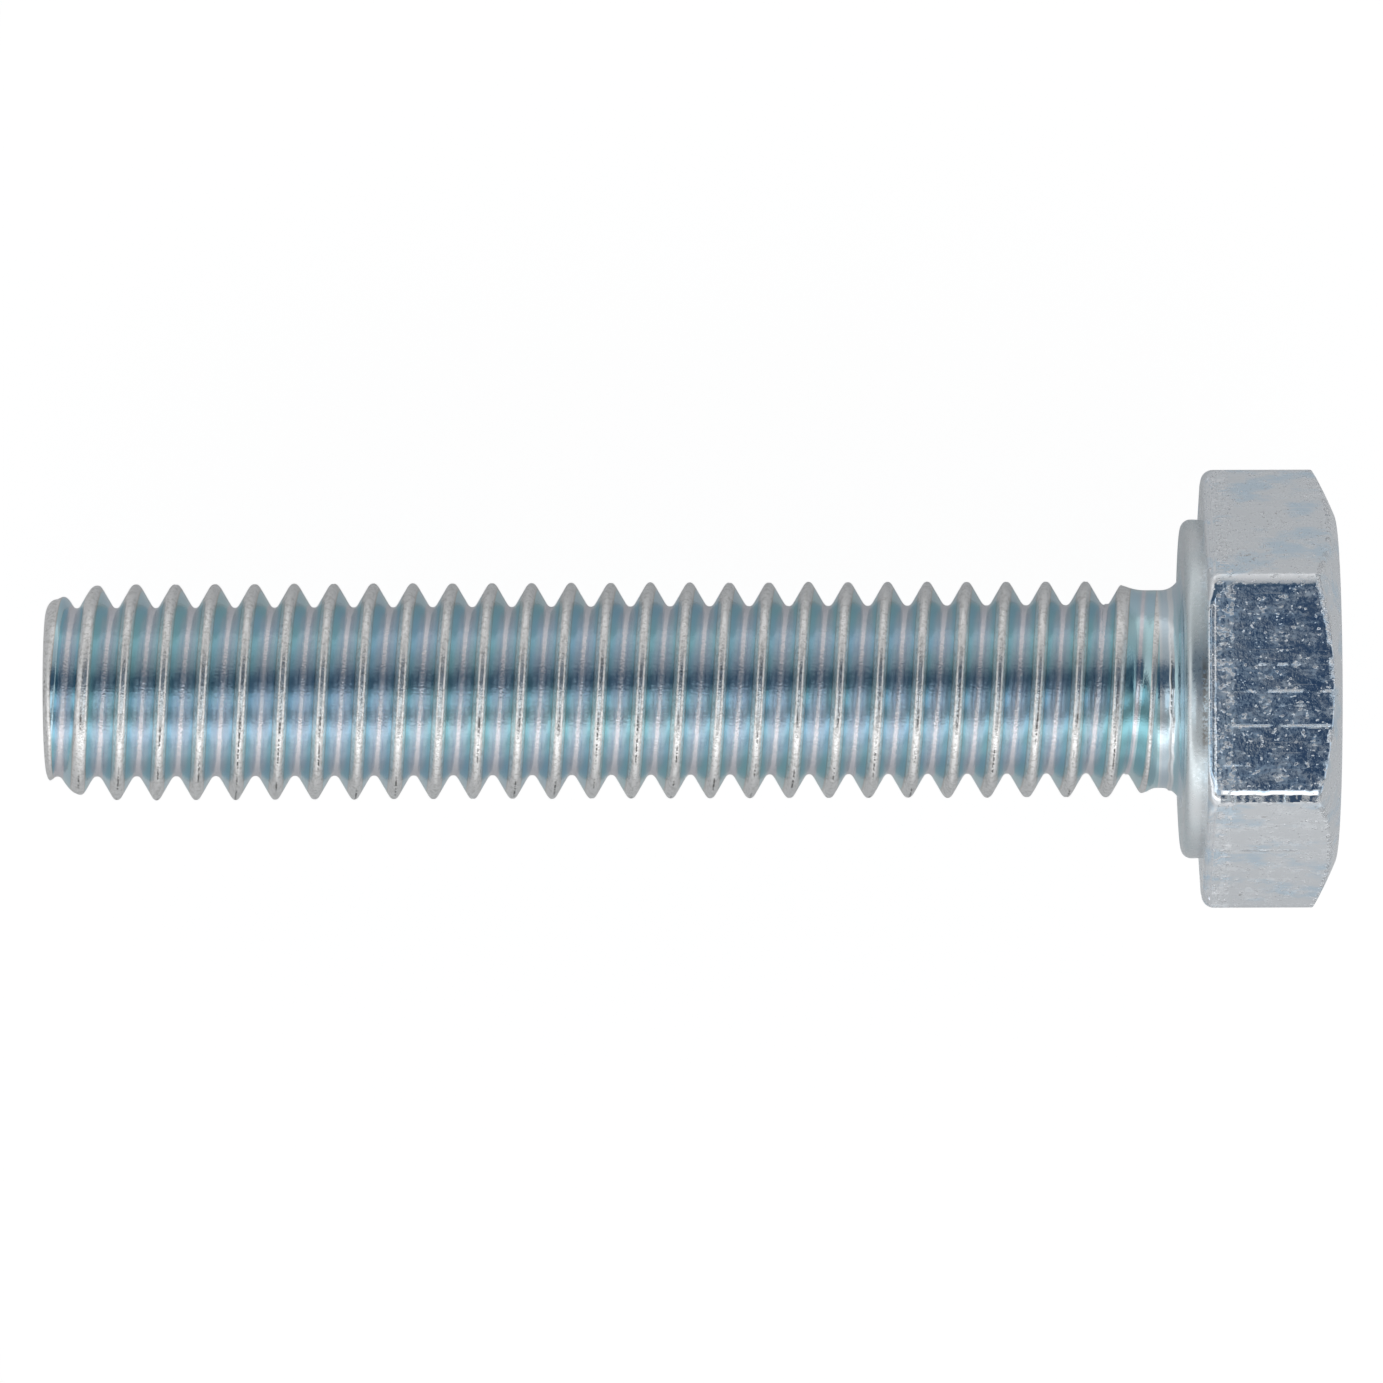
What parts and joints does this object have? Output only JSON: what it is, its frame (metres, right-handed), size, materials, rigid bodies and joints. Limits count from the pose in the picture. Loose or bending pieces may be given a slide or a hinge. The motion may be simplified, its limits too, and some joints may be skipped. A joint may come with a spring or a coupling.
{
  "type": "hex bolt",
  "caption": "Small zinc-plated hexagon head screw with a washer face and a metric thread along its whole shank.",
  "frame": {"origin": "on the screw's axis, in the plane of the bearing face under the head", "axes": "+X along the axis from the point towards the head, +Z square to one wrench flat, +Y through a corner of the hexagon"},
  "size_m": [0.0228, 0.0078, 0.0068],
  "materials": {
    "zinc_thread": "bright zinc plate with a blue-white passivation, satin, worn silver on the crests",
    "zinc_neck": "bright zinc plate with a blue-white passivation, smooth satin",
    "zinc_head": "bright zinc plate with a pale blue passivation, satin, finely pitted and scratched"
  },
  "bodies": {
    "root": {"thread_point": "zinc_thread", "threaded_shank": "zinc_thread", "thread_runout": "zinc_thread", "neck": "zinc_neck", "washer_face": "zinc_head", "hex_head": "zinc_head"}
  },
  "joints": []
}
